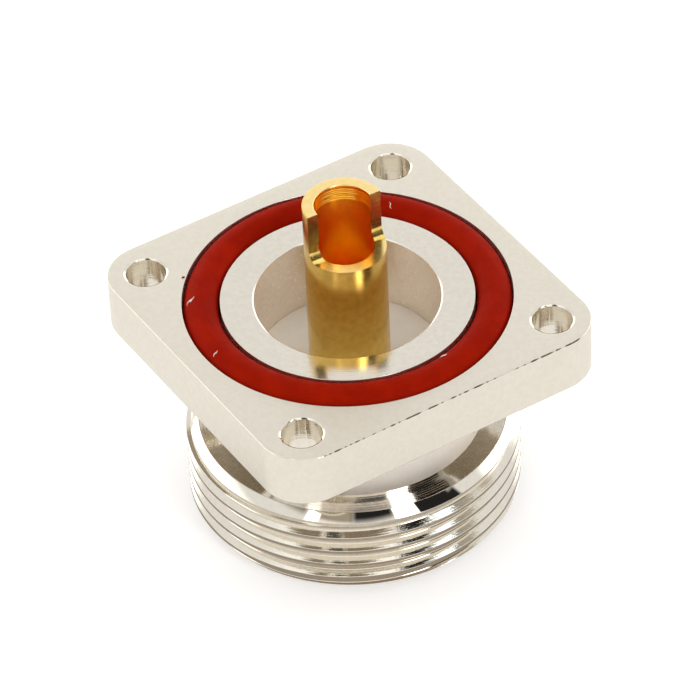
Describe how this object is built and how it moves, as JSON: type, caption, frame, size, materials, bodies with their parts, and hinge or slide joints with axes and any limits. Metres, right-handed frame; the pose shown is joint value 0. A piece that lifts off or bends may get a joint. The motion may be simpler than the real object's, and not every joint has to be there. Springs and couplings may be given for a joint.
{
  "type": "flanged coaxial panel jack",
  "caption": "Coaxial panel jack with a square flange, O-ring face seal, threaded coupling barrel, PTFE beads and a gold-plated contact with a half-cut solder cup.",
  "frame": {"origin": "centre of the mating face, on the connector's axis, where the jack stands", "axes": "+Z along the axis from the mating face to the panel face and the solder cup, +X and +Y square to the flange's sides, with the cup's opening facing +X"},
  "size_m": [0.032, 0.032, 0.0311],
  "materials": {
    "nickel": "satin nickel plate over turned and milled brass",
    "seal_rubber": "matte brick-red silicone",
    "gold": "gold plate over turned brass, brushed outside",
    "ptfe": "white PTFE, turned"
  },
  "bodies": {
    "root": {"body": "nickel", "flange_seal": "seal_rubber", "center_contact": "gold", "front_bead": "ptfe", "rear_bead": "ptfe"}
  },
  "joints": []
}
